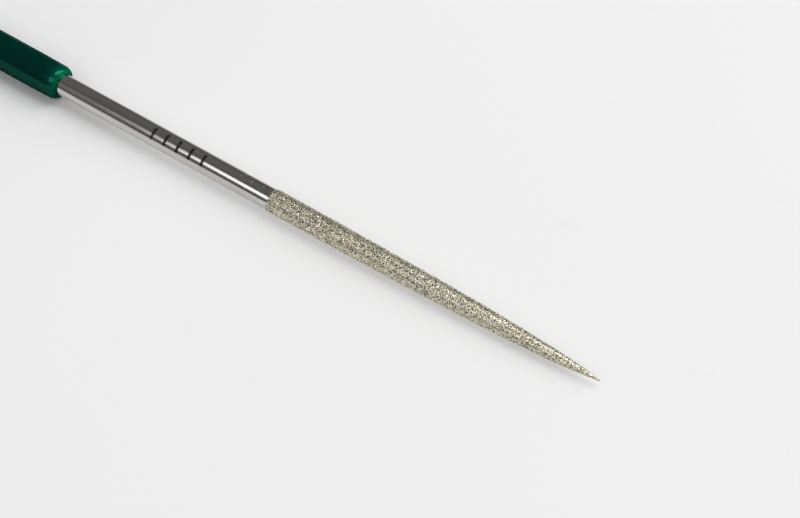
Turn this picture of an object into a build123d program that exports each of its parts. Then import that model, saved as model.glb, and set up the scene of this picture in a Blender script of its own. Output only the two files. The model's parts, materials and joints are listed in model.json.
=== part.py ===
from build123d import *

import math
import os

# Round diamond needle file, lying as it comes to rest on a flat surface, Z = 0.
# Millimetres. +X runs along the surface towards the point, +Z is up, and the origin is
# midway along the file's reach in X. The axis slopes gently down towards the point.

# Lengths along the file, from the rear of the grip to the blank's point
grip_length = 55.0
bare_length = 35.0  # plain shank between the grip and the coat
taper_length = 26.0  # long, very slow curve
belly_length = 16.0  # slow curve
nose_length = 7.86  # quick curve to the point

# Steel blank: one round rod, ground to a point
shank_diameter = 3.0
belly_diameter = 2.6  # where the slow curve starts
nose_diameter = 1.55  # where the quick curve starts
point_diameter = 0.06  # a ground point is never quite sharp
butt_chamfer = 0.3

# Diamond coat: grit held in plated nickel, equally thick all over the ground end
coat_thickness = 0.14
coat_edge_round = 0.10  # where the plating ends on the shank

# Grip: soft plastic sleeve moulded over the plain end of the blank
grip_diameter = 4.8
end_wall = 1.2  # plastic behind the blank
rear_round = 2.2
lip_length = 3.2  # stretch over which the front end draws in
lip_drop = 0.38  # how far it draws in
lip_outer_round = 0.38
lip_bore_chamfer = 0.12  # opens the bore's mouth around the shank

# Places along the axis, measured from the rear of the grip
lip_start = grip_length - lip_length
coat_start = grip_length + bare_length
belly_start = coat_start + taper_length
nose_start = belly_start + belly_length
blank_point = nose_start + nose_length

shank_radius = shank_diameter / 2
belly_radius = belly_diameter / 2
point_radius = point_diameter / 2
grip_radius = grip_diameter / 2
lip_radius = grip_radius - lip_drop
lip_wall = lip_radius - shank_radius
rear_arc = min(rear_round, 0.95 * grip_radius)


def tangent_round(length, drop):
    """Radius of an arc that leaves a straight side on tangent and drops so far over a length."""
    return (length**2 + drop**2) / (2 * drop)


# Rest pose. The file's weight is ahead of the grip, so it lies on two large rounds, the
# lip's outer face and the coat's long slow curve, and its point stays clear of the surface.
# Each round starts square to the axis, at lip_start and coat_start. The line that touches
# both gives the slope of the axis.
lip_face_radius = tangent_round(lip_length, lip_drop)
coat_face_radius = tangent_round(taper_length, shank_radius - belly_radius) + coat_thickness
lip_face_centre = grip_radius - lip_face_radius
coat_face_centre = shank_radius + coat_thickness - coat_face_radius
span = coat_start - lip_start
rise = lip_face_centre - coat_face_centre
slope = math.atan2(rise, span)
slope -= math.asin((coat_face_radius - lip_face_radius) / math.hypot(span, rise))
axis_height = lip_face_radius + lip_start * math.sin(slope) + lip_face_centre * math.cos(slope)

# Reach of both ends along X from the centre of the rear, each the far side of a round
rear_reach = rear_arc * (math.cos(slope) - 1) - (grip_radius - rear_arc) * math.sin(slope)
front_reach = blank_point * math.cos(slope) + point_radius * math.sin(slope) + coat_thickness

# The file's own plane: local X runs along the axis from the rear, local Y out from it
towards_point = Vector(math.cos(slope), 0, -math.sin(slope))
rear_centre = Vector(-(rear_reach + front_reach) / 2, 0, axis_height)
file_plane = Plane(origin=rear_centre, x_dir=towards_point, z_dir=(0, -1, 0))
file_axis = Axis(rear_centre, towards_point)

# Rear end of the rod, from its axis out to its side
butt_corners = [
    (end_wall, 0),
    (end_wall, shank_radius - butt_chamfer),
    (end_wall + butt_chamfer, shank_radius),
]


def ground_outline():
    """Half outline of the ground end: three arcs, each running on tangent from the last."""
    taper_end = (belly_start, belly_radius)
    belly_end = (nose_start, nose_diameter / 2)
    taper = TangentArc((coat_start, shank_radius), taper_end, tangent=(1, 0))
    belly = TangentArc(taper_end, belly_end, tangent=taper % 1)
    nose = TangentArc(belly_end, (blank_point, point_radius), tangent=belly % 1)
    Line(nose @ 1, (blank_point, 0))


# Steel blank: shank, hidden tang and ground point in one piece
with BuildPart() as steel_blank:
    with BuildSketch(file_plane):
        with BuildLine():
            ground_outline()
            Polyline((blank_point, 0), *butt_corners, (coat_start, shank_radius))
        make_face()
    revolve(axis=file_axis)

# Diamond coat: the ground end grown by the coat's thickness, less the steel inside it
with BuildPart() as diamond_coat:
    with BuildSketch(file_plane) as coat_profile:
        with BuildLine():
            ground_outline()
            Polyline((blank_point, 0), (coat_start, 0), (coat_start, shank_radius))
        ground_end = make_face()
        offset(amount=coat_thickness, kind=Kind.ARC)
        with Locations((coat_start, 0)):
            Rectangle(
                blank_point + coat_thickness - coat_start,
                shank_radius + coat_thickness,
                align=(Align.MIN, Align.MIN),
                mode=Mode.INTERSECT,
            )
        add(ground_end, mode=Mode.SUBTRACT)
        start_edge = coat_profile.vertices().group_by(Axis.X)[0].sort_by(Axis.Y)[-1]
        fillet(start_edge, min(coat_edge_round, 0.8 * coat_thickness))
    revolve(axis=file_axis)

# Grip: straight sleeve, domed behind, with a front lip that draws in towards the shank
with BuildPart() as grip_sleeve:
    with BuildSketch(file_plane) as grip_profile:
        with BuildLine():
            side = Line((0, grip_radius), (lip_start, grip_radius))
            TangentArc(side @ 1, (grip_length, lip_radius), tangent=side % 1)
            Polyline((grip_length, lip_radius), (grip_length, shank_radius), butt_corners[-1])
            Polyline(*butt_corners)
            Polyline(butt_corners[0], (0, 0), (0, grip_radius))
        make_face()
        rear_edge = grip_profile.vertices().group_by(Axis.X)[0].sort_by(Axis.Y)[-1]
        fillet(rear_edge, rear_arc)
        lip_edge = grip_profile.vertices().group_by(Axis.X)[-1].sort_by(Axis.Y)[-1]
        fillet(lip_edge, min(lip_outer_round, 0.7 * lip_wall))
        bore_edge = grip_profile.vertices().group_by(Axis.X)[-1].sort_by(Axis.Y)[0]
        chamfer(bore_edge, min(lip_bore_chamfer, 0.25 * lip_wall))
    revolve(axis=file_axis)

steel_blank.part.label = "steel_blank"
diamond_coat.part.label = "diamond_coat"
grip_sleeve.part.label = "grip_sleeve"

os.makedirs("parts", exist_ok=True)
export_step(steel_blank.part, "parts/steel_blank.step")
export_step(diamond_coat.part, "parts/diamond_coat.step")
export_step(grip_sleeve.part, "parts/grip_sleeve.step")

print("slope", round(math.degrees(slope), 3), "degrees")
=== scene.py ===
# %% [markdown]
# # A round diamond needle file
# This tool is a slim steel rod. One end is ground to a point and carries diamond grit in plated
# nickel. The other end sits in a soft green plastic sleeve. The CAD model already holds the true
# sizes, so Blender's work is the surface: ground steel, crusted grit, glossy vinyl and the light.
# Everything is built on the file's own axis, because the file rests with a slight slope.

import cmath
import json
import math

import bmesh
import bpy
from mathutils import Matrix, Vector


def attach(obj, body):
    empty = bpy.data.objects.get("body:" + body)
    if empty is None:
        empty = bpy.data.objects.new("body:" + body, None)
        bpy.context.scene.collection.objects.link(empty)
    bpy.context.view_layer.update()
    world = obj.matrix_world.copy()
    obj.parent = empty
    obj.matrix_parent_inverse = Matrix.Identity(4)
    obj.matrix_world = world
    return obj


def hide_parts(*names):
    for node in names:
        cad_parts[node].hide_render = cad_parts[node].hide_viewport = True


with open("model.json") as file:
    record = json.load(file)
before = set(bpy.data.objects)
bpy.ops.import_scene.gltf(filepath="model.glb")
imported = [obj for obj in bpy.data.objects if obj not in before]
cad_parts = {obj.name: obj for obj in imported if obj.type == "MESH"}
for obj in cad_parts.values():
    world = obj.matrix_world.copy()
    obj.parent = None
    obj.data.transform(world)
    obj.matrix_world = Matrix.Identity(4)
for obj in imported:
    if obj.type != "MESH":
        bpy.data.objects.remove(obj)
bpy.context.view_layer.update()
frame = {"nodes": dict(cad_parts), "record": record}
print("CAD nodes:", sorted(frame["nodes"]))

# %% [markdown]
# ## The file's own axis
# A turned object is easiest to describe by two numbers: how far along the axis, and how far out
# from it. The record of the CAD model holds a mount on the grip, and its place and direction give
# the axis exactly. Typing the slope in by hand would also work, but would drift from the CAD.

# %% The axis, from the grip's mount
MM = 0.001
REAR_ROUND = 2.2  # the dome behind the grip, in millimetres

grip_mount = frame["record"]["mounts"][0]
grip_radius = grip_mount["dims"]["r_mm"]
straight_grip = grip_mount["dims"]["length_mm"]
towards_point = -Vector(grip_mount["axis"])
towards_point.normalize()
out_above = Vector((-towards_point.z, 0, towards_point.x))
rear_to_mount = straight_grip / 2 + REAR_ROUND
rear_centre = Vector(grip_mount["pos_m"]) - towards_point * rear_to_mount * MM
slope = math.atan2(-towards_point.z, towards_point.x)
print("rear centre", [round(x / MM, 3) for x in rear_centre], "mm")
print("slope", round(math.degrees(slope), 3), "degrees")

# %% [markdown]
# ## Sizes along the file
# These are the sizes of a common needle file, 3 mm thick and 140 mm long, in millimetres from the
# rear of the grip. Named once here, they place the steel, the coat and the sleeve alike.

# %% Sizes in millimetres
GRIP_LENGTH = 55.0
LIP_EASE = 0.05  # the side eases in by this much first, and so lies flat on the table
LIP_BEND = 1.5  # radius with which the sleeve's side bends in at its front
LIP_LEAN = 34  # degrees that it has bent by, where the rim's small round starts
LIP_OUTER_ROUND = 0.30
LIP_BORE_ROUND = 0.03
END_WALL = 1.2
SQUEEZE = 0.01  # the soft sleeve grips the rod, so its bore is a touch too tight
BUTT_CHAMFER = 0.3

SHANK_RADIUS = 1.5
COAT_START = 90.0
BELLY_START = 116.0
BELLY_RADIUS = 1.3
NOSE_START = 132.0
NOSE_RADIUS = 0.775
BLANK_POINT = 139.86
POINT_RADIUS = 0.03

COAT_THICKNESS = 0.14
BOND_THICKNESS = 0.072
GRAIN_DEPTH = 0.085  # how far a grain's middle lies below the coat's outer face
GRAIN_ACROSS = 0.22
GRAIN_HEIGHT = 0.14
GRAIN_SPACING = 0.18
print("bare shank", COAT_START - GRIP_LENGTH, "mm, coat", round(BLANK_POINT - COAT_START, 2), "mm")

# %% [markdown]
# ## Outlines made of arcs
# The ground end is three arcs, each leaving the last without a corner, as a grinder makes it.
# A complex number holds a point of the outline neatly: its real part is the way along the axis,
# its imaginary part the way out. Turning an arc is then one multiplication, in full precision.

# %% Arcs as complex numbers
def arc_on(start, heading, end, steps):
    """Points and headings of the arc that leaves start along heading and stops at end."""
    chord = end - start
    sweep = 2 * cmath.phase(chord / heading)
    centre = start + 1j * heading * abs(chord) / (2 * math.sin(sweep / 2))
    turns = [cmath.exp(1j * sweep * step / steps) for step in range(1, steps + 1)]
    return [(centre + (start - centre) * turn, heading * turn) for turn in turns]


def round_about(centre, radius, first_angle, last_angle, steps):
    """Points of a round, between two angles in degrees."""
    span = last_angle - first_angle
    angles = [math.radians(first_angle + span * step / steps) for step in range(steps + 1)]
    return [centre + radius * cmath.exp(1j * angle) for angle in angles]


def ground_end(ring_gap=0.25):
    """Points and headings along the ground end of the rod, from the shank to the point."""
    corners = [
        complex(COAT_START, SHANK_RADIUS),
        complex(BELLY_START, BELLY_RADIUS),
        complex(NOSE_START, NOSE_RADIUS),
        complex(BLANK_POINT, POINT_RADIUS),
    ]
    line = [(corners[0], 1 + 0j)]
    for end in corners[1:]:
        start, heading = line[-1]
        steps = math.ceil(abs(end - start) / ring_gap)
        line += arc_on(start, heading, end, steps)
    return line


print("the ground end has", len(ground_end()), "rings")


# %% Ground end grown by a coat
BUILD_UP = 4.0  # plating grows thicker over the last millimetres before the point


def grown_end(thickness, extra=0.0):
    """The ground end moved outwards by a thickness, and by a little extra at the point."""
    line = ground_end()
    outline = []
    for point, heading in line:
        nearness = max(0.0, 1 - (BLANK_POINT - point.real) / BUILD_UP)
        outline.append(point + 1j * heading * (thickness + extra * nearness**2))
    last_lean = math.degrees(cmath.phase(1j * line[-1][1]))
    outline += round_about(line[-1][0], thickness + extra, last_lean, 0, 6)[1:]
    outline.append(complex(BLANK_POINT + thickness + extra, 0))
    return outline


print("with its coat the file is", round(grown_end(COAT_THICKNESS)[-1].real, 2), "mm long")

# %% [markdown]
# ## One small language for node trees
# Shaders and Geometry Nodes are both node trees. Nodes can be placed and linked one by one, but
# such a script is long and hides the idea. Two small classes let Python write them instead: a
# `Wire` is one output, and Python's own signs on it add Math nodes, while `Nodes.add` makes any
# other node from its type, its settings and its sockets. A pattern then reads like a sum.

# %% Wires
class Wire:
    """One output of a node. Python's signs on wires, or on a number and a wire, add Math nodes."""

    def __init__(self, nodes, socket):
        self.nodes = nodes
        self.socket = socket

    def out(self, name):
        """Another output of the same node."""
        return Wire(self.nodes, self.socket.node.outputs[name])

    def math(self, operation, *values):
        """A Math node on some values, of which this wire may be one."""
        sockets = dict(enumerate(values))
        return self.nodes.add("ShaderNodeMath", {"operation": operation}, sockets)

    def __add__(self, other):
        return self.math("ADD", self, other)

    def __radd__(self, other):
        return self.math("ADD", other, self)

    def __sub__(self, other):
        return self.math("SUBTRACT", self, other)

    def __rsub__(self, other):
        return self.math("SUBTRACT", other, self)

    def __mul__(self, other):
        return self.math("MULTIPLY", self, other)

    def __rmul__(self, other):
        return self.math("MULTIPLY", other, self)

    def __truediv__(self, other):
        return self.math("DIVIDE", self, other)

    def __rtruediv__(self, other):
        return self.math("DIVIDE", other, self)

    def __abs__(self):
        return self.math("ABSOLUTE", self)


# %% Nodes
RANDOM_SOCKETS = {"FLOAT_VECTOR": (0, 1, 0), "FLOAT": (2, 3, 1), "INT": (4, 5, 2)}


class Nodes:
    """A node tree, filled from Python."""

    def __init__(self, tree):
        self.tree = tree

    def add(self, kind, settings, sockets, output=0):
        """Any node. Its settings come first, because some of them change its sockets."""
        node = self.tree.nodes.new(kind)
        for name, value in settings.items():
            if name == "stops":
                self.set_stops(node.color_ramp.elements, value)
            else:
                setattr(node, name, value)
        for key, value in sockets.items():
            if isinstance(value, Wire):
                self.tree.links.new(value.socket, node.inputs[key])
            else:
                node.inputs[key].default_value = value
        if len(node.outputs) == 0:
            return node
        return Wire(self, node.outputs[output])

    def set_stops(self, elements, stops):
        """Fill a colour ramp from a list of (place, grey or colour)."""
        while len(elements) < len(stops):
            elements.new(1)
        for element, (place, colour) in zip(elements, stops):
            element.position = place
            element.color = (*colour, 1) if isinstance(colour, tuple) else (colour,) * 3 + (1,)

    def ease(self, value, low, high):
        """0 below low, 1 above high, and a smooth rise between them."""
        places = {0: value, 1: low, 2: high, 3: 0.0, 4: 1.0}
        return self.add("ShaderNodeMapRange", {"interpolation_type": "SMOOTHSTEP"}, places)

    def between(self, value, low, high):
        """Value, which runs from 0 to 1, stretched to run from low to high."""
        return self.add("ShaderNodeMapRange", {}, {0: value, 3: low, 4: high})

    def vector(self, operation, *values):
        """A Vector Math node."""
        output = "Value" if operation == "DOT_PRODUCT" else "Vector"
        sockets = dict(enumerate(values))
        return self.add("ShaderNodeVectorMath", {"operation": operation}, sockets, output)

    def blend(self, factor, first, second):
        """A mix of two colours."""
        sockets = {0: factor, 6: first, 7: second}
        return self.add("ShaderNodeMix", {"data_type": "RGBA"}, sockets, 2)

    def noise(self, place, scale, detail=3.0, roughness=0.5):
        """Cloudy values about 0.5 at a place."""
        sockets = {"Vector": place, "Scale": scale, "Detail": detail, "Roughness": roughness}
        return self.add("ShaderNodeTexNoise", {}, sockets)

    def random(self, kind, low, high, seed):
        """A random vector, number or whole number between low and high."""
        lowest, highest, output = RANDOM_SOCKETS[kind]
        sockets = {lowest: low, highest: high, "Seed": seed}
        return self.add("FunctionNodeRandomValue", {"data_type": kind}, sockets, output)


# %% [markdown]
# ## Places on the file, for its materials
# Every material here works from two numbers: the way along the file and the direction round it.
# Object coordinates are in metres and don't move when the camera does. The finish class starts a
# material and works out both numbers from them.

# %% A finish and its coordinates
class Finish(Nodes):
    """A material of the file, with its places along and across the axis in millimetres."""

    def __init__(self, name):
        self.material = bpy.data.materials.new(name)
        self.material.use_nodes = True
        super().__init__(self.material.node_tree)
        self.tree.nodes.clear()
        self.place = self.add("ShaderNodeTexCoord", {}, {}, "Object")
        from_rear = self.vector("SUBTRACT", self.place, rear_centre)
        self.along = self.vector("DOT_PRODUCT", from_rear, towards_point) / MM
        self.above = self.vector("DOT_PRODUCT", from_rear, out_above) / MM
        self.aside = self.vector("DOT_PRODUCT", from_rear, Vector((0, -1, 0))) / MM

    def stretched(self, along, across):
        """Coordinates that count so many waves per millimetre along and across the file."""
        sockets = {0: self.along * along, 1: self.above * across, 2: self.aside * across}
        return self.add("ShaderNodeCombineXYZ", {}, sockets)

    def bump(self, height, depth):
        """A normal that follows a height from 0 to 1, for relief so many millimetres deep."""
        return self.add("ShaderNodeBump", {}, {"Height": height, "Distance": depth * MM})

    def shader(self, **values):
        """A Principled shader. A socket's name has spaces where the argument has underscores."""
        sockets = {name.replace("_", " "): value for name, value in values.items()}
        return self.add("ShaderNodeBsdfPrincipled", {}, sockets)

    def finished(self, shader):
        """The material, once its last shader is known."""
        self.add("ShaderNodeOutputMaterial", {}, {"Surface": shader})
        return self.material

    def surface(self, **values):
        """The material when one shader is all it needs."""
        return self.finished(self.shader(**values))


# %% [markdown]
# ## A lathe made of Geometry Nodes
# Steel, bond and sleeve are all turned shapes: one outline carried once round the axis. Python
# could place each vertex, and Spin could turn an outline, but a small Geometry Nodes lathe does
# it for every piece from two inputs. The outline becomes a curve and is swept along a ring. As
# the profile counts from the ring's own radius, its points land at their true distance out.

# %% The lathe's tree
def new_tree(name, inputs):
    """A Geometry Nodes tree with named inputs, and its group of inputs as wires."""
    tree = bpy.data.node_groups.new(name, "GeometryNodeTree")
    tree.interface.new_socket("Geometry", in_out="INPUT", socket_type="NodeSocketGeometry")
    for socket_name, kind in inputs:
        tree.interface.new_socket(socket_name, in_out="INPUT", socket_type=kind)
    tree.interface.new_socket("Geometry", in_out="OUTPUT", socket_type="NodeSocketGeometry")
    nodes = Nodes(tree)
    return nodes, nodes.add("NodeGroupInput", {}, {})


def lathe_tree():
    """Turns the outline of an object round the file's axis."""
    inputs = [
        ("Steps round", "NodeSocketInt"),
        ("Ring radius", "NodeSocketFloat"),
        ("Rear centre", "NodeSocketVector"),
        ("Slope", "NodeSocketFloat"),
        ("Material", "NodeSocketMaterial"),
    ]
    nodes, given = new_tree("lathe", inputs)
    outline = nodes.add("GeometryNodeMeshToCurve", {}, {0: given})
    spot = nodes.add("GeometryNodeInputPosition", {}, {})
    parts = nodes.add("ShaderNodeSeparateXYZ", {}, {0: spot})
    sideways = parts.out("Y") - given.out("Ring radius")
    upright = nodes.add("ShaderNodeCombineXYZ", {}, {0: sideways, 1: 0 - parts})
    profile = nodes.add("GeometryNodeSetPosition", {}, {0: outline, "Position": upright})
    ring_sockets = {0: given.out("Steps round"), "Radius": given.out("Ring radius")}
    ring = nodes.add("GeometryNodeCurvePrimitiveCircle", {}, ring_sockets)
    swept = nodes.add("GeometryNodeCurveToMesh", {}, {0: ring, 1: profile})
    closed = nodes.add("GeometryNodeMergeByDistance", {}, {0: swept, "Distance": 2e-7})
    quarter_turn = given.out("Slope") + math.pi / 2
    lean = nodes.add("ShaderNodeCombineXYZ", {}, {1: quarter_turn})
    leaning = {0: closed, "Translation": given.out("Rear centre"), "Rotation": lean}
    laid = nodes.add("GeometryNodeTransform", {}, leaning)
    real = nodes.add("GeometryNodeRealizeInstances", {}, {0: laid})
    dressed = nodes.add("GeometryNodeSetMaterial", {}, {0: real, 2: given.out("Material")})
    nodes.add("NodeGroupOutput", {}, {0: dressed})
    return nodes.tree


lathe = lathe_tree()
print("lathe nodes:", len(lathe.nodes))


# %% Run a tree and keep its mesh
def grown(name, mesh, tree, values):
    """A plain object: the tree's work on a mesh, with the tree's inputs set by their names."""
    source = bpy.data.objects.new(name + "_source", mesh)
    bpy.context.scene.collection.objects.link(source)
    modifier = source.modifiers.new(tree.name, "NODES")
    modifier.node_group = tree
    for item in tree.interface.items_tree:
        if item.item_type == "SOCKET" and item.in_out == "INPUT" and item.name in values:
            modifier[item.identifier] = values[item.name]
    seen = source.evaluated_get(bpy.context.evaluated_depsgraph_get())
    result = bpy.data.meshes.new_from_object(seen)
    source.modifiers.remove(modifier)
    bpy.data.objects.remove(source)
    result.name = name
    piece = bpy.data.objects.new(name, result)
    bpy.context.scene.collection.objects.link(piece)
    return piece


RING_RADIUS = 3.0  # any radius will do, as the profile is counted from it


def turned(name, outline, material, steps_round=128, crease=40):
    """An outline of the file turned into a closed, smooth piece."""
    mesh = bpy.data.meshes.new(name + "_outline")
    points = [(point.real * MM, point.imag * MM, 0) for point in outline]
    mesh.from_pydata(points, [(place, place + 1) for place in range(len(points) - 1)], [])
    values = {
        "Steps round": steps_round,
        "Ring radius": RING_RADIUS * MM,
        "Rear centre": rear_centre,
        "Slope": slope,
        "Material": material,
    }
    piece = grown(name, mesh, lathe, values)
    shell = bmesh.new()
    shell.from_mesh(piece.data)
    bmesh.ops.recalc_face_normals(shell, faces=shell.faces)
    open_edges = sum(1 for edge in shell.edges if edge.is_boundary)
    shell.to_mesh(piece.data)
    shell.free()
    piece.data.shade_smooth()
    piece.data.set_sharp_from_angle(angle=math.radians(crease))
    print(name, "faces", len(piece.data.polygons), "open edges", open_edges)
    return piece


# %% [markdown]
# ## Ground and plated steel
# The shank is ground along its length and flashed with nickel, so it mirrors the room in long
# soft bands, with hair-fine streaks. Near the coat the grinding also left faint rings. A photo
# would fix the reflections in place. A metal shader with stretched noise lets them move instead.

# %% Marks of the grinding wheel
def ring_marks(steel):
    """Faint rings round the shank that grow stronger towards the coat."""
    rings = steel.noise(steel.stretched(4.5, 0.15), 1.0, detail=2.0)
    return rings * steel.ease(steel.along, 68.0, 88.0)


def long_streaks(finish, along, across):
    """Streaks along the file, with so many waves per millimetre along and across it."""
    return finish.noise(finish.stretched(along, across), 1.0, detail=4.0, roughness=0.6)


# %% [markdown]
# ## A row of black ticks
# Five small slanting ticks are printed on the shank. Ink has next to no thickness, so it could be
# a decal laid over the steel, but a mask in the steel's own material is enough. It is the product
# of one wave for the pitch, one window along the shank, one window round it, and some wear.

# %% Black ticks
TICK_FIRST = 71.1
TICK_PITCH = 2.05
TICK_COUNT = 5
TICK_HALF_WIDTH = 0.22
TICK_LEAN = 30  # degrees from the top towards the side that faces the viewer
TICK_FOOT = 1.22  # how far out along that lean the ink starts, which sets a tick's length
TICK_WOBBLE = 0.16  # how much the ink's edges wander
INK = (0.05, 0.049, 0.048, 1)


def printed_ticks(steel):
    """1 on the ink, 0 on bare steel."""
    from_first = (steel.along - (TICK_FIRST - TICK_PITCH / 2)) / TICK_PITCH
    within_pitch = abs(from_first.math("FRACT", from_first) - 0.5) * TICK_PITCH
    wobble = (steel.noise(steel.place, 4200.0) - 0.5) * TICK_WOBBLE
    bar = 1 - steel.ease(within_pitch + wobble, TICK_HALF_WIDTH - 0.03, TICK_HALF_WIDTH + 0.03)
    middle = (TICK_COUNT - 1) / 2 * TICK_PITCH + TICK_FIRST
    reach = TICK_COUNT / 2 * TICK_PITCH
    row = 1 - steel.ease(abs(steel.along - middle), reach - 0.01, reach + 0.01)
    lean = math.radians(TICK_LEAN)
    facing = steel.above * math.cos(lean) + steel.aside * math.sin(lean)
    window = steel.ease(facing + wobble, TICK_FOOT, TICK_FOOT + 0.05)
    worn = steel.ease(steel.noise(steel.place, 7000.0), 0.3, 0.42)
    return bar * row * window * (0.55 + worn * 0.45)


# %% Steel finish
SATIN_STEEL = (0.51, 0.487, 0.466, 1)
BRIGHT_STEEL = (0.73, 0.705, 0.68, 1)


def steel_finish():
    """Ground steel with hair-fine streaks, wider bands, rings near the coat and the ticks."""
    steel = Finish("ground_steel")
    hair = long_streaks(steel, 0.05, 9.0)
    band = long_streaks(steel, 0.02, 2.2)
    ink = printed_ticks(steel)
    shine = steel.ease(band * 0.5 + hair * 0.5, 0.38, 0.62)
    metal = steel.blend(shine, SATIN_STEEL, BRIGHT_STEEL)
    relief = hair * 0.5 + band * 0.5 + ring_marks(steel) * 0.7
    return steel.surface(
        Base_Color=steel.blend(ink, metal, INK),
        Metallic=1.0,
        Roughness=steel.between(hair, 0.07, 0.17) + ink * 0.2,
        Normal=steel.bump(relief, 0.002),
    )


ground_steel = steel_finish()
print("steel nodes:", len(ground_steel.node_tree.nodes))

# %% [markdown]
# ## The steel rod
# One rod runs the whole way: a hidden tang in the sleeve, the bare shank and the ground end. It
# is turned as one outline, because the real one is one piece of wire.

# %% Steel rod
def rod_outline():
    """The rod from the middle of its butt to its point."""
    side_start = END_WALL + BUTT_CHAMFER
    butt = [complex(END_WALL, 0), complex(END_WALL, SHANK_RADIUS - BUTT_CHAMFER)]
    side = [complex(side_start + 2.5 * step, SHANK_RADIUS) for step in range(36)]
    tip = [point for point, heading in ground_end(0.5)]
    return butt + side + tip + [complex(BLANK_POINT, 0)]


steel_rod = turned("steel_rod", rod_outline(), ground_steel)

# %% [markdown]
# ## Nickel bond
# Between the grains lies the nickel that holds them, dull and slightly lumpy. It is a thin shell
# over the ground end, with an outer and an inner wall, so it closes on itself. The lumps could be
# sculpted, but grains hide most of the shell, so here they are part of its material: a bump, with
# painted shade in its hollows and painted highlight on its lumps.

# %% Bond finish
# Painted shade and painted highlight: dark in the bump's hollows, pale on its lumps.
NICKEL_PAINTED_SHADE = (0.09, 0.082, 0.063, 1)
NICKEL_PAINTED_HIGHLIGHT = (0.92, 0.845, 0.665, 1)
NICKEL_CLOUD = (0.50, 0.465, 0.36, 1)


def bond_finish():
    """Nickel with painted shade in the bump's hollows and painted highlight on its lumps."""
    bond = Finish("plated_nickel")
    lumps = bond.noise(bond.place, 4800.0)
    cloud = bond.noise(bond.place, 900.0, detail=2.0)
    # The bump's own noise: painted shade where it is low, painted highlight where it is high.
    painted_lump_light = bond.ease(lumps, 0.38, 0.60)
    tone = bond.blend(painted_lump_light, NICKEL_PAINTED_SHADE, NICKEL_PAINTED_HIGHLIGHT)
    return bond.surface(
        Base_Color=bond.blend(cloud * 0.3, tone, NICKEL_CLOUD),
        Metallic=1.0,
        Roughness=bond.between(lumps, 0.30, 0.46),
        Normal=bond.bump(lumps, 0.05),
    )


plated_nickel = bond_finish()
print("bond nodes:", len(plated_nickel.node_tree.nodes))


# %% Bond shell
def bond_outline():
    """The inner wall from its pole back to the shank, the plating's edge, then the outer wall."""
    inner_wall = [complex(BLANK_POINT, 0)] + [point for point, heading in ground_end()[::-1]]
    edge_centre = complex(COAT_START + BOND_THICKNESS, SHANK_RADIUS)
    edge = round_about(edge_centre, BOND_THICKNESS, 180, 90, 5)[1:]
    outer_wall = grown_end(BOND_THICKNESS, extra=0.045)[1:]
    return inner_wall + edge + outer_wall


bond_shell = turned("bond_shell", bond_outline(), plated_nickel, crease=60)

# %% [markdown]
# ## Diamond grains
# The coat is thousands of grains, each a blunt crystal about a fifth of a millimetre across.
# Bump maps give a sanded look, but a real crust has facets that catch the light one by one. So
# Geometry Nodes scatter real crystals: points with a least spacing lie on a hidden surface, and
# each gets one of four crystals, turned and sized at random from fixed seeds.

# %% Grain finish
GRAIN_SHADES = [
    (0.0, (0.03, 0.027, 0.020)),
    (0.28, (0.10, 0.091, 0.067)),
    (0.36, (0.95, 0.875, 0.68)),
    (1.0, (1.0, 0.95, 0.81)),
]


def grain_finish():
    """About a third of the grains are dark, and the others pale. Each carries its own tone."""
    grain = Finish("diamond_grains")
    tone = grain.add("ShaderNodeAttribute", {"attribute_name": "tone"}, {}, "Fac")
    speck = grain.noise(grain.place, 9000.0, detail=2.0)
    return grain.surface(
        Base_Color=grain.add("ShaderNodeValToRGB", {"stops": GRAIN_SHADES}, {0: tone}),
        Metallic=grain.between(tone, 0.5, 0.95),
        Roughness=grain.between(speck, 0.14, 0.32),
        IOR=2.1,
        Normal=grain.bump(speck, 0.004),
    )


diamond_grains = grain_finish()
print("grain nodes:", len(diamond_grains.node_tree.nodes))


# %% Crystals
CRYSTAL_KINDS = 4


def crystal(nodes, seed):
    """A cube with its corners thrown about on a ball, closed again by its convex hull."""
    cube = nodes.add("GeometryNodeMeshCube", {}, {"Size": (1, 1, 1)})
    spot = nodes.add("GeometryNodeInputPosition", {}, {})
    throw = nodes.random("FLOAT_VECTOR", (-0.3, -0.3, -0.3), (0.3, 0.3, 0.3), seed)
    direction = nodes.vector("NORMALIZE", nodes.vector("ADD", spot, throw))
    reach = nodes.random("FLOAT", 0.38, 0.5, seed + 50)
    scaling = {0: direction, "Scale": reach}
    corner = nodes.add("ShaderNodeVectorMath", {"operation": "SCALE"}, scaling)
    moved = nodes.add("GeometryNodeSetPosition", {}, {0: cube, "Position": corner})
    hull = nodes.add("GeometryNodeConvexHull", {}, {0: moved})
    return nodes.add("GeometryNodeGeometryToInstance", {}, {0: hull})


def all_crystals(nodes):
    """Every kind of crystal, as instances to pick from."""
    kinds = nodes.add("GeometryNodeJoinGeometry", {}, {})
    for number in range(CRYSTAL_KINDS):
        nodes.tree.links.new(crystal(nodes, number).socket, kinds.socket.node.inputs[0])
    return kinds


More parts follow.
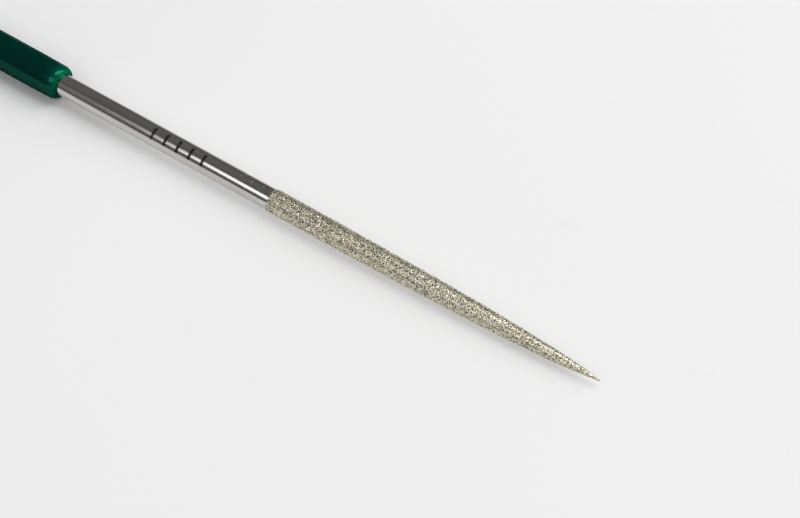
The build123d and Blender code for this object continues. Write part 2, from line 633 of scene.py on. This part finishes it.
# %% The grit's tree
def grit_tree():
    """Scatters crystals over the surface that it is given."""
    inputs = [
        ("Grain size", "NodeSocketVector"),
        ("Spacing", "NodeSocketFloat"),
        ("Seed", "NodeSocketInt"),
        ("Material", "NodeSocketMaterial"),
    ]
    nodes, given = new_tree("grit", inputs)
    seed = given.out("Seed")
    spacing = given.out("Spacing")
    crowd = 4.0 / (spacing * spacing)  # more points than fit, so the spacing alone thins them
    spread = {0: given, "Distance Min": spacing, "Density Max": crowd, "Seed": seed}
    evenly = {"distribute_method": "POISSON"}
    points = nodes.add("GeometryNodeDistributePointsOnFaces", evenly, spread)
    turn = nodes.random("FLOAT_VECTOR", (-0.18, -0.18, 0), (0.18, 0.18, 6.283), seed + 2)
    on_surface = {0: points.out("Rotation"), 1: turn}
    turned_so = nodes.add("FunctionNodeRotateRotation", {"rotation_space": "LOCAL"}, on_surface)
    shares = nodes.random("FLOAT_VECTOR", (0.75, 0.75, 0.7), (1, 1, 1), seed + 3)
    placing = {
        0: points,
        "Instance": all_crystals(nodes),
        "Pick Instance": True,
        "Instance Index": nodes.random("INT", 0, CRYSTAL_KINDS - 1, seed + 1),
        "Rotation": turned_so,
        "Scale": nodes.vector("MULTIPLY", shares, given.out("Grain size")),
    }
    grains = nodes.add("GeometryNodeInstanceOnPoints", {}, placing)
    shade = nodes.random("FLOAT", 0.0, 1.0, seed + 4)
    on_each_grain = {"data_type": "FLOAT", "domain": "INSTANCE"}
    tone = {0: grains, "Name": "tone", "Value": shade}
    toned = nodes.add("GeometryNodeStoreNamedAttribute", on_each_grain, tone)
    real = nodes.add("GeometryNodeRealizeInstances", {}, {0: toned})
    dressed = nodes.add("GeometryNodeSetMaterial", {}, {0: real, 2: given.out("Material")})
    nodes.add("NodeGroupOutput", {}, {0: dressed})
    return nodes.tree


grit = grit_tree()
print("grit nodes:", len(grit.nodes))

# %% Scatter the grains
def scattered(name, outline, across, height, spacing, seed):
    """Grains over a hidden turned surface that passes through their middles."""
    hidden = turned(name + "_surface", outline, None, steps_round=64)
    values = {
        "Grain size": Vector((across, across, height)) * MM,
        "Spacing": spacing * MM,
        "Seed": seed,
        "Material": diamond_grains,
    }
    grains = grown(name, hidden.data, grit, values)
    bpy.data.objects.remove(hidden)
    print(name, "grains", len(grains.data.vertices) // 8, "faces", len(grains.data.polygons))
    return grains


coat_line = grown_end(COAT_THICKNESS - GRAIN_DEPTH, extra=0.01)
coat_line[0] += 0.08  # keeps the first grains from hanging over the plating's edge
diamond_grit = scattered("diamond_grit", coat_line, GRAIN_ACROSS, GRAIN_HEIGHT, GRAIN_SPACING, 11)

# %% [markdown]
# ## Stray grains
# A few loose grains get plated onto the shank just before the coat. White dots in the steel's
# colour would do from afar, but the grit's tree is there already. So they are the same crystals,
# smaller and far apart, on a short band of the shank.

# %% Stray grains
STRAY_START = COAT_START - 5.5
STRAY_RADIUS = SHANK_RADIUS + 0.006
stray_band = [complex(STRAY_START + 0.5 * step, STRAY_RADIUS) for step in range(11)]
stray_grit = scattered("stray_grit", stray_band, across=0.15, height=0.08, spacing=0.65, seed=5)

# %% [markdown]
# ## Glossy green vinyl
# The sleeve is soft vinyl, deep green inside and glossy on top, and even its gloss looks green.
# One Principled shader gives a plastic a white gloss that turns grey towards the outline, which
# is too pale here. So two are mixed, a matt one for the depth and a tinted metallic one for the
# gloss. Towards its front lip the sleeve's upper side and its rim are painted a brighter green:
# painted light, standing in for light that gets into the thin vinyl there.

# %% Sleeve finish
VINYL_DEEP = (0.0001, 0.014, 0.010, 1)
VINYL_CLEAR = (0.0001, 0.024, 0.017, 1)
# Painted light: brighter greens for the lip's upper side and rim, where light would get in.
VINYL_PAINTED_LIGHT_NEAR_LIP = (0.0002, 0.07, 0.045, 1)
VINYL_PAINTED_LIGHT_ON_RIM = (0.0004, 0.10, 0.042, 1)
GLOSS_SIDE = (0.12, 0.75, 0.58, 1)
GLOSS_RIM = (0.05, 0.75, 0.46, 1)
GLOSS_SHARE = 0.048  # how much of the light the vinyl's surface mirrors


def vinyl_depth(vinyl):
    """The vinyl's colour, with painted light near the lip: a brighter green on its upper side and
    rim.
    """
    swell = vinyl.noise(vinyl.stretched(0.12, 0.35), 1.0, detail=2.0)
    deep = vinyl.blend(swell, VINYL_DEEP, VINYL_CLEAR)
    # Painted light on the upper side near the lip, and brighter still on the rim's upper part.
    painted_light_near_lip = vinyl.ease(vinyl.along, 52.8, 54.9) * vinyl.ease(vinyl.above, 0.2, 2.3)
    body = vinyl.blend(painted_light_near_lip * 0.8, deep, VINYL_PAINTED_LIGHT_NEAR_LIP)
    painted_light_on_rim = vinyl.ease(vinyl.along, 54.72, 54.96) * vinyl.ease(vinyl.above, -0.8, 2.2)
    return vinyl.blend(painted_light_on_rim, body, VINYL_PAINTED_LIGHT_ON_RIM), swell


def vinyl_finish():
    """Matt depth and tinted gloss, with soft swells, fine pores and long scuffs."""
    vinyl = Finish("green_vinyl")
    colour, swell = vinyl_depth(vinyl)
    pores = vinyl.noise(vinyl.place, 3000.0)
    scuffs = long_streaks(vinyl, 0.6, 5.0)
    relief = vinyl.bump(pores * 0.1 + swell, 0.01)
    depth = vinyl.shader(
        Base_Color=colour,
        Roughness=0.6,
        Specular_IOR_Level=0.0,
        Normal=relief,
    )
    near_rim = vinyl.ease(vinyl.along, 53.8, 54.5)
    gloss = vinyl.shader(
        Base_Color=vinyl.blend(near_rim, GLOSS_SIDE, GLOSS_RIM),
        Metallic=1.0,
        Roughness=vinyl.between(vinyl.ease(scuffs, 0.45, 0.75), 0.09, 0.20),
        Normal=relief,
    )
    share = GLOSS_SHARE + near_rim * 0.014
    return vinyl.finished(vinyl.add("ShaderNodeMixShader", {}, {0: share, 1: depth, 2: gloss}))


green_vinyl = vinyl_finish()
print("vinyl nodes:", len(green_vinyl.node_tree.nodes))

# %% [markdown]
# ## The sleeve's shape
# The sleeve is moulded over the rod, with a domed rear, a straight side and a rim that bends in
# to the shank. A primitive cylinder with a bevel would round both ends alike. So it is turned
# from its own outline, as the rod is. The side stays straight a little longer than in the CAD
# and bends in over the last millimetre.

# %% Sleeve
def sleeve_lip():
    """The side's last bend, the rim's small round and the mouth of the bore."""
    steep = math.radians(90 - LIP_LEAN)
    reach = LIP_BEND * math.cos(steep) + LIP_OUTER_ROUND * (1 - math.cos(steep))
    bend_centre = complex(GRIP_LENGTH - reach, grip_radius - LIP_EASE - LIP_BEND)
    bend = round_about(bend_centre, LIP_BEND, 90, 90 - LIP_LEAN, 12)
    rim_centre = bend[-1] - LIP_OUTER_ROUND * cmath.exp(1j * steep)
    rim = round_about(rim_centre, LIP_OUTER_ROUND, 90 - LIP_LEAN, 0, 10)[1:]
    mouth_centre = complex(GRIP_LENGTH - LIP_BORE_ROUND, SHANK_RADIUS - SQUEEZE + LIP_BORE_ROUND)
    return bend + rim + round_about(mouth_centre, LIP_BORE_ROUND, 0, -90, 6)


def sleeve_outline():
    """The sleeve from the middle of its rear, over its side and lip, and back down its bore."""
    dome = round_about(complex(REAR_ROUND, grip_radius - REAR_ROUND), REAR_ROUND, 180, 90, 20)
    side = [complex(place, grip_radius) for place in range(5, 52, 3)]
    bore = [complex(END_WALL + BUTT_CHAMFER, SHANK_RADIUS - SQUEEZE)]
    floor = [complex(END_WALL, SHANK_RADIUS - BUTT_CHAMFER), complex(END_WALL, 0)]
    return [0j] + dome + side + sleeve_lip() + bore + floor


soft_sleeve = turned("soft_sleeve", sleeve_outline(), green_vinyl, crease=50)

# %% [markdown]
# ## Pale table
# The file lies on a plain white surface with a few faint scuffs. The table is wide, because the
# steel mirrors it: its far edge is the dark line above the bright band low on the shank. Brighter
# lamps could make it white, but would bleach the file. So part of its white is a glow that only
# the camera and mirror-like surfaces see, and that throws no light. Around the grip the glow is
# taken out, which paints a darker patch of shadow there than the lamps alone would leave.

# %% Table finish
PALE = (0.85, 0.85, 0.85, 1)
PALER = (0.89, 0.89, 0.89, 1)
SCUFFED = (0.70, 0.70, 0.70, 1)
GLOW = 0.9  # 1 is white
GLOW_SHARE = 0.35


def table_glow(table):
    """How much of the table's white is glow, for the rays that see it. None by the grip: a painted
    shadow.
    """
    ray = table.add("ShaderNodeLightPath", {}, {}, "Is Camera Ray")
    mirrored = ray.math("MAXIMUM", ray.out("Is Glossy Ray"), ray.out("Is Transmission Ray"))
    seen = ray.math("MAXIMUM", ray, mirrored)
    # Painted shadow: no glow around the grip, so a darker patch lies there.
    grip_shadow_stretch = table.ease(table.along, -70.0, 0.0) * (1 - table.ease(table.along, 50.0, 76.0))
    painted_grip_shadow = grip_shadow_stretch * (1 - table.ease(abs(table.aside), 8.0, 60.0))
    return (1 - painted_grip_shadow) * GLOW_SHARE * seen


def table_finish():
    """A matt white with faint clouds and scuffs."""
    table = Finish("pale_table")
    cloud = table.noise(table.place, 9.0, detail=2.0)
    scuffs = table.ease(table.noise(table.place, 160.0, detail=5.0, roughness=0.65), 0.62, 0.80)
    lit = table.shader(
        Base_Color=table.blend(scuffs * 0.25, table.blend(cloud, PALE, PALER), SCUFFED),
        Roughness=table.between(cloud, 0.55, 0.7),
        Specular_IOR_Level=0.2,
    )
    white = table.add("ShaderNodeEmission", {}, {"Strength": GLOW})
    mix = {0: table_glow(table), 1: lit, 2: white}
    return table.finished(table.add("ShaderNodeMixShader", {}, mix))


# %% Table
TABLE_HALF = 2.5  # metres
signs = [(-1, -1), (1, -1), (1, 1), (-1, 1)]
corners = [(x * TABLE_HALF, y * TABLE_HALF, 0) for x, y in signs]
table_mesh = bpy.data.meshes.new("table")
table_mesh.from_pydata(corners, [], [(0, 1, 2, 3)])
table_mesh.materials.append(table_finish())
table = bpy.data.objects.new("table", table_mesh)
bpy.context.scene.collection.objects.link(table)
print("table", TABLE_HALF * 2, "m wide")

# %% [markdown]
# ## Studio light
# Polished metal shows its surroundings, so the light is built as a room and not only as lamps. A
# tall soft box hangs behind the file, off to the right, and throws its short soft shadow towards
# the viewer. A wide one hangs on the viewer's side. The left half of the room is dim. The shank
# mirrors that dim half along most of its length, and only near the coat does the second box come
# into it, as one narrow bright line.

# %% Soft boxes
def soft_box(name, centre, width, height, brightness):
    """An area light that faces the table's middle, as bright as asked whatever its size."""
    lamp = bpy.data.lights.new(name, "AREA")
    lamp.shape = "RECTANGLE"
    lamp.size = width
    lamp.size_y = height
    lamp.energy = brightness * math.pi * width * height
    lamp_object = bpy.data.objects.new(name, lamp)
    bpy.context.scene.collection.objects.link(lamp_object)
    lamp_object.location = centre
    lamp_object.rotation_euler = (-centre).to_track_quat("-Z", "Y").to_euler()
    print(name, "power", round(lamp.energy, 2), "watts")


soft_box("key_box", Vector((0.25, 0.40, 0.66)), width=0.40, height=1.25, brightness=3.85)
soft_box("front_box", Vector((0.0, -0.84, 0.86)), width=1.20, height=0.60, brightness=1.50)


# %% Dim room
ROOM_GREYS = [(0.0, 0.12), (0.30, 0.13), (0.42, 0.34), (1.0, 0.36)]


def dim_room():
    """A grey world, darker on its left, where X is negative."""
    world = bpy.data.worlds.new("dim_room")
    world.use_nodes = True
    room = Nodes(world.node_tree)
    room.tree.nodes.clear()
    direction = room.add("ShaderNodeTexCoord", {}, {}, "Generated")
    across = room.add("ShaderNodeSeparateXYZ", {}, {0: direction})
    wall = room.add("ShaderNodeValToRGB", {"stops": ROOM_GREYS}, {0: across * 0.5 + 0.5})
    light = room.add("ShaderNodeBackground", {}, {"Color": wall, "Strength": 1.0})
    room.add("ShaderNodeOutputWorld", {}, {"Surface": light})
    return world


bpy.context.scene.world = dim_room()
bpy.context.scene.view_settings.view_transform = "Standard"
print("the room is", ROOM_GREYS[0][1], "grey on its left and", ROOM_GREYS[-1][1], "on its right")

# %% [markdown]
# ## Camera
# The camera looks down on the file from the right, close enough for the lines to run together
# a little. Its place and lens came from matching the edges of the file in the picture, which is
# 800 by 518 pixels.

# %% Camera
PICTURE_WIDTH = 800
FOCAL_PIXELS = 2785.7
LOOKS_DOWN = 48.56
TURNED_LEFT = 35.64
camera_data = bpy.data.cameras.new("viewer")
camera_data.sensor_width = 36.0
camera_data.sensor_fit = "HORIZONTAL"
camera_data.lens = FOCAL_PIXELS / PICTURE_WIDTH * camera_data.sensor_width
camera_data.clip_start = 0.01
camera = bpy.data.objects.new("viewer", camera_data)
bpy.context.scene.collection.objects.link(camera)
camera.location = (0.17431, -0.18717, 0.26455)
camera.rotation_euler = (math.radians(90 - LOOKS_DOWN), 0, math.radians(TURNED_LEFT))
bpy.context.scene.camera = camera
print("lens", round(camera_data.lens, 2), "mm")

# %% [markdown]
# ## Onto the file's body
# Each piece rides on the file's one body, and the CAD node it stands for is hidden.

# %% Ride and replace
stand_for = [
    (steel_rod, "steel_blank", "steel"),
    (bond_shell, "diamond_coat", "diamond_grit"),
    (diamond_grit, "diamond_coat", "diamond_grit"),
    (stray_grit, "diamond_coat", "diamond_grit"),
    (soft_sleeve, "grip_sleeve", "grip_plastic"),
]
for piece, node, slot_name in stand_for:
    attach(piece, "root")
    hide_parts(node)
